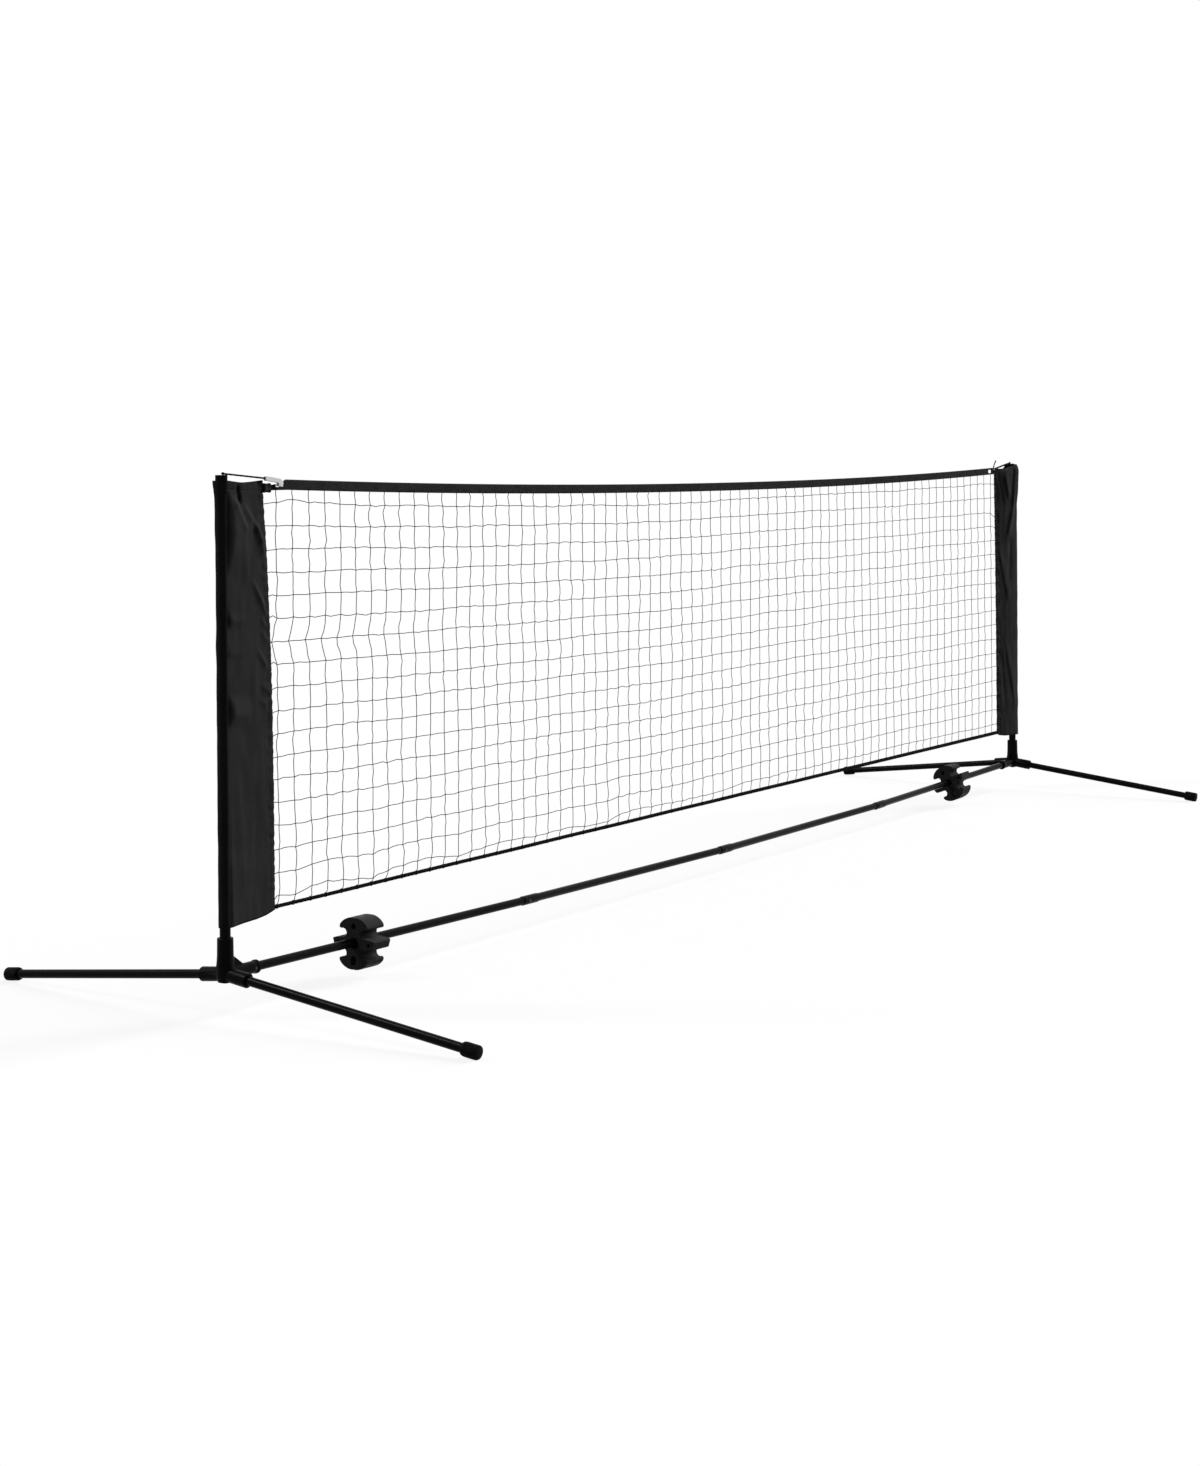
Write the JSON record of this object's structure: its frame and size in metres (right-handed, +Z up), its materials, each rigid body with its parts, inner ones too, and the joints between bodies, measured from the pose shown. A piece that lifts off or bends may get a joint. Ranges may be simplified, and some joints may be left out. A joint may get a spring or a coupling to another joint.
{
  "type": "multisport net",
  "caption": "Portable sports net: a low tube frame on splayed feet with two sleeved posts, a taut net between them and sliding tube clips on the crossbar.",
  "frame": {"origin": "on the ground midway between the posts, under the net", "axes": "+X along the net from the left post to the right one, +Y to the rear, +Z up; metres"},
  "size_m": [3.2826, 1.0812, 0.9349],
  "materials": {
    "black_coated_steel": "gloss black powder coat",
    "black_moulded_plastic": "moulded, satin gloss",
    "black_rubber": "matt",
    "charcoal_plastic": "extruded, fine matt",
    "spring_steel": "bright",
    "black_polyester": "satin weave",
    "black_webbing": "ribbed weave",
    "dark_twine": "twisted",
    "black_rope": "braided",
    "white_plastic": "moulded, satin"
  },
  "bodies": {
    "frame": {"bottom_cord": "black_rope", "corner_connector_left": "black_moulded_plastic", "corner_connector_right": "black_moulded_plastic", "crossbar_section_1": "black_coated_steel", "crossbar_section_2": "black_coated_steel", "crossbar_section_3": "black_coated_steel", "crossbar_section_4": "black_coated_steel", "foot_cap_front_left": "black_rubber", "foot_cap_front_right": "black_rubber", "foot_cap_rear_left": "black_rubber", "foot_cap_rear_right": "black_rubber", "foot_tube_front_left": "black_coated_steel", "foot_tube_front_right": "black_coated_steel", "foot_tube_rear_left": "black_coated_steel", "foot_tube_rear_right": "black_coated_steel", "net_mesh": "dark_twine", "post_cap_left": "black_moulded_plastic", "post_cap_right": "black_moulded_plastic", "post_lower_left": "black_coated_steel", "post_lower_right": "black_coated_steel", "post_upper_left": "black_coated_steel", "post_upper_right": "black_coated_steel", "sleeve_left": "black_polyester", "sleeve_right": "black_polyester", "tape_loop_left": "black_webbing", "tension_hook": "white_plastic", "tie_cord_left": "black_rope", "tie_cord_right": "black_rope", "top_tape": "black_webbing"},
    "clip_left": {"clip_block_left": "charcoal_plastic"},
    "clip_right": {"clip_block_right": "charcoal_plastic"},
    "button_bar_1": {"snap_button_bar_1": "spring_steel"},
    "button_bar_2": {"snap_button_bar_2": "spring_steel"},
    "button_bar_3": {"snap_button_bar_3": "spring_steel"},
    "button_corner_left": {"snap_button_corner_left": "spring_steel"},
    "button_corner_right": {"snap_button_corner_right": "spring_steel"},
    "button_post_left": {"snap_button_post_left": "spring_steel"},
    "button_post_right": {"snap_button_post_right": "spring_steel"}
  },
  "joints": [
    {"name": "clip_left_slide", "type": "slide", "parent": "frame", "child": "clip_left", "axis": [0.9999, 0, -0.0169], "range_m": [-0.258, 0.476]},
    {"name": "clip_right_slide", "type": "slide", "parent": "frame", "child": "clip_right", "axis": [0.9997, 0, 0.0227], "range_m": [-0.373, 0.295]},
    {"name": "button_bar_1_press", "type": "slide", "parent": "frame", "child": "button_bar_1", "axis": [0, 1, 0], "range_m": [0, 0.0035], "stiffness_N_per_m": 1500, "springref_m": -0.001},
    {"name": "button_bar_2_press", "type": "slide", "parent": "frame", "child": "button_bar_2", "axis": [0, 1, 0], "range_m": [0, 0.0035], "stiffness_N_per_m": 1500, "springref_m": -0.001},
    {"name": "button_bar_3_press", "type": "slide", "parent": "frame", "child": "button_bar_3", "axis": [0, 1, 0], "range_m": [0, 0.0035], "stiffness_N_per_m": 1500, "springref_m": -0.001},
    {"name": "button_corner_left_press", "type": "slide", "parent": "frame", "child": "button_corner_left", "axis": [0, 1, 0], "range_m": [0, 0.0035], "stiffness_N_per_m": 1500, "springref_m": -0.001},
    {"name": "button_corner_right_press", "type": "slide", "parent": "frame", "child": "button_corner_right", "axis": [0, 1, 0], "range_m": [0, 0.0035], "stiffness_N_per_m": 1500, "springref_m": -0.001},
    {"name": "button_post_left_press", "type": "slide", "parent": "frame", "child": "button_post_left", "axis": [-1, 0, 0], "range_m": [0, 0.0035], "stiffness_N_per_m": 1500, "springref_m": -0.001},
    {"name": "button_post_right_press", "type": "slide", "parent": "frame", "child": "button_post_right", "axis": [1, 0, 0], "range_m": [0, 0.0035], "stiffness_N_per_m": 1500, "springref_m": -0.001}
  ]
}
